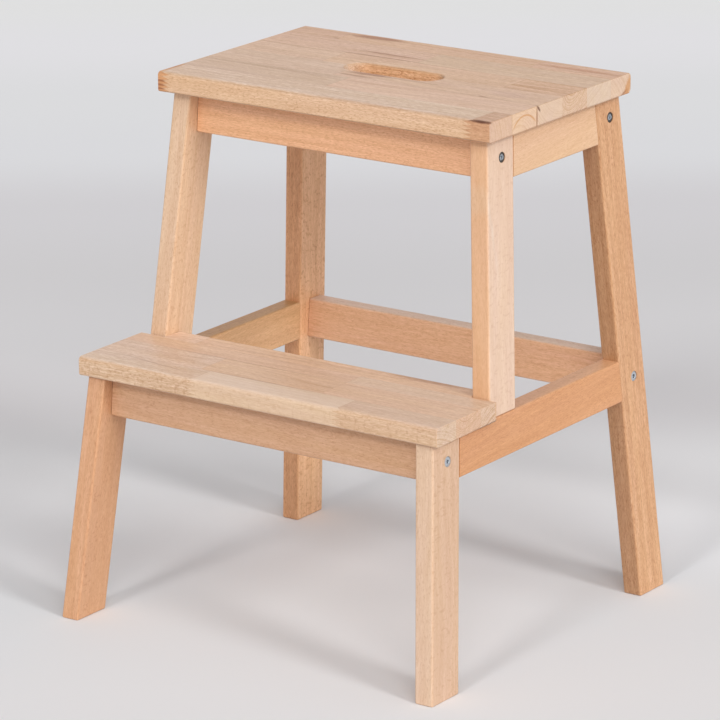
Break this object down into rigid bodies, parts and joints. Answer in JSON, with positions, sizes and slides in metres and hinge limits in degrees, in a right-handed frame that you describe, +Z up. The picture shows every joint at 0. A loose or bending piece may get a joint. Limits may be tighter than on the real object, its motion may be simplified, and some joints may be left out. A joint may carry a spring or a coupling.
{
  "type": "step stool",
  "caption": "Fixed wooden step stool: leaning side frames, cross rails, a seat board with a hand hole and a lower step board in front.",
  "frame": {"origin": "on the floor, midway between the four feet", "axes": "+Z up, the lower step is towards -Y, +X is the sitter's left-to-right line across the stool"},
  "size_m": [0.4178, 0.3918, 0.5],
  "materials": {
    "board_beech": "edge-glued, finger-jointed solid beech, sanded, clear matt",
    "leg_beech": "solid beech, planed and sanded, clear matt",
    "rail_beech": "solid beech, slightly redder, planed and sanded, clear matt",
    "dowel_beech": "turned beech, unfinished",
    "zinc_steel": "bright zinc plate"
  },
  "bodies": {
    "root": {"rear_leg_left": "leg_beech", "front_post_left": "leg_beech", "front_leg_left": "leg_beech", "rear_leg_right": "leg_beech", "front_post_right": "leg_beech", "front_leg_right": "leg_beech", "upper_side_rail_left": "rail_beech", "lower_side_rail_left": "rail_beech", "upper_side_rail_right": "rail_beech", "lower_side_rail_right": "rail_beech", "upper_front_rail": "rail_beech", "upper_rear_rail": "rail_beech", "lower_front_rail": "rail_beech", "middle_rear_rail": "rail_beech", "seat_board": "board_beech", "step_board": "board_beech", "dowel_upper_side_rail_front_post_left_1": "dowel_beech", "dowel_upper_side_rail_front_post_left_2": "dowel_beech", "dowel_upper_side_rail_rear_leg_left_1": "dowel_beech", "dowel_upper_side_rail_rear_leg_left_2": "dowel_beech", "dowel_lower_side_rail_front_leg_left_1": "dowel_beech", "dowel_lower_side_rail_front_leg_left_2": "dowel_beech", "dowel_lower_side_rail_rear_leg_left_1": "dowel_beech", "dowel_lower_side_rail_rear_leg_left_2": "dowel_beech", "dowel_front_post_foot_left_1": "dowel_beech", "dowel_front_post_foot_left_2": "dowel_beech", "dowel_upper_side_rail_front_post_right_1": "dowel_beech", "dowel_upper_side_rail_front_post_right_2": "dowel_beech", "dowel_upper_side_rail_rear_leg_right_1": "dowel_beech", "dowel_upper_side_rail_rear_leg_right_2": "dowel_beech", "dowel_lower_side_rail_front_leg_right_1": "dowel_beech", "dowel_lower_side_rail_front_leg_right_2": "dowel_beech", "dowel_lower_side_rail_rear_leg_right_1": "dowel_beech", "dowel_lower_side_rail_rear_leg_right_2": "dowel_beech", "dowel_front_post_foot_right_1": "dowel_beech", "dowel_front_post_foot_right_2": "dowel_beech", "screw_upper_front_rail_left": "zinc_steel", "dowel_upper_front_rail_left": "dowel_beech", "screw_upper_front_rail_right": "zinc_steel", "dowel_upper_front_rail_right": "dowel_beech", "screw_upper_rear_rail_left": "zinc_steel", "dowel_upper_rear_rail_left": "dowel_beech", "screw_upper_rear_rail_right": "zinc_steel", "dowel_upper_rear_rail_right": "dowel_beech", "screw_lower_front_rail_left": "zinc_steel", "dowel_lower_front_rail_left": "dowel_beech", "screw_lower_front_rail_right": "zinc_steel", "dowel_lower_front_rail_right": "dowel_beech", "screw_middle_rear_rail_left": "zinc_steel", "dowel_middle_rear_rail_left": "dowel_beech", "screw_middle_rear_rail_right": "zinc_steel", "dowel_middle_rear_rail_right": "dowel_beech", "board_screw_upper_front_rail_left": "zinc_steel", "board_screw_upper_front_rail_right": "zinc_steel", "board_screw_upper_rear_rail_left": "zinc_steel", "board_screw_upper_rear_rail_right": "zinc_steel", "board_screw_lower_front_rail_left": "zinc_steel", "board_screw_lower_front_rail_right": "zinc_steel", "board_screw_lower_side_rail_left": "zinc_steel", "board_screw_lower_side_rail_right": "zinc_steel"}
  },
  "joints": []
}
